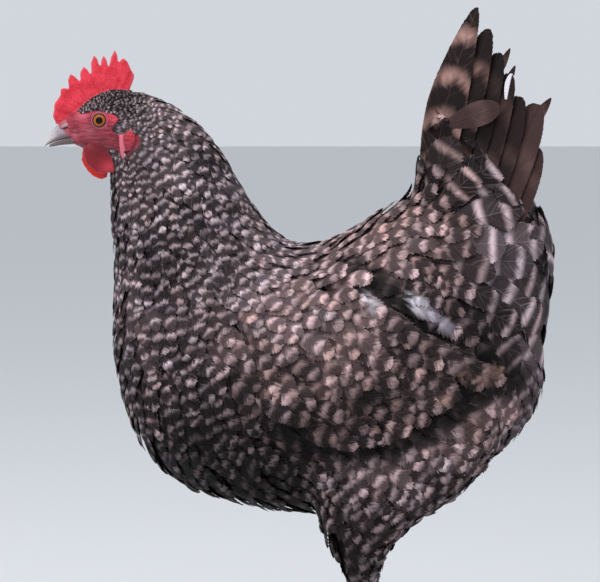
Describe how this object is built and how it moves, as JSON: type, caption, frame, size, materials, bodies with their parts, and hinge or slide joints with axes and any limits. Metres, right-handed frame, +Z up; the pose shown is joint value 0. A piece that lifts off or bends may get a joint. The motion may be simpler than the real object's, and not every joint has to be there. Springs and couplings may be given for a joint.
{
  "type": "chicken",
  "caption": "Standing barred hen as a still, life-size museum model, with a single comb, wattles, folded wings, upright tail and bare legs.",
  "frame": {"origin": "on the floor, under the middle of the hen's box", "axes": "+Z up, the bill points to -Y, the hen's left side faces +X"},
  "size_m": [0.1922, 0.3878, 0.5188],
  "materials": {
    "barred_plumage": "dark brown-black plumage with pale bars, matt",
    "barred_plumage_pale": "finer and paler barred plumage, matt",
    "red_skin": "bright red, finely pebbled bare skin",
    "bill_horn": "grey horn, paler towards the tip, satin",
    "leg_scales": "pinkish white scales, satin",
    "claw_horn": "pale horn, satin",
    "eye_amber": "orange iris with a black pupil, wet gloss"
  },
  "bodies": {
    "root": {"bill_lower": "bill_horn", "bill_upper": "bill_horn", "claw_back_left": "claw_horn", "claw_back_right": "claw_horn", "claw_inner_left": "claw_horn", "claw_inner_right": "claw_horn", "claw_middle_left": "claw_horn", "claw_middle_right": "claw_horn", "claw_outer_left": "claw_horn", "claw_outer_right": "claw_horn", "comb": "red_skin", "earlobe_left": "red_skin", "earlobe_right": "red_skin", "eye_left": "eye_amber", "eye_right": "eye_amber", "head": "barred_plumage_pale", "neck": "barred_plumage_pale", "shank_left": "leg_scales", "shank_right": "leg_scales", "tail_coverts": "barred_plumage", "tail_feather_1_left": "barred_plumage_pale", "tail_feather_1_right": "barred_plumage_pale", "tail_feather_2_left": "barred_plumage_pale", "tail_feather_2_right": "barred_plumage_pale", "tail_feather_3_left": "barred_plumage_pale", "tail_feather_3_right": "barred_plumage_pale", "tail_feather_4_left": "barred_plumage_pale", "tail_feather_4_right": "barred_plumage_pale", "tail_feather_5_left": "barred_plumage_pale", "tail_feather_5_right": "barred_plumage_pale", "tail_feather_6_left": "barred_plumage_pale", "tail_feather_6_right": "barred_plumage_pale", "tail_feather_7_left": "barred_plumage_pale", "tail_feather_7_right": "barred_plumage_pale", "thigh_left": "barred_plumage", "thigh_right": "barred_plumage", "toe_back_left": "leg_scales", "toe_back_right": "leg_scales", "toe_inner_left": "leg_scales", "toe_inner_right": "leg_scales", "toe_middle_left": "leg_scales", "toe_middle_right": "leg_scales", "toe_outer_left": "leg_scales", "toe_outer_right": "leg_scales", "trunk": "barred_plumage", "wattle_left": "red_skin", "wattle_right": "red_skin", "wing_left": "barred_plumage", "wing_right": "barred_plumage"}
  },
  "joints": []
}
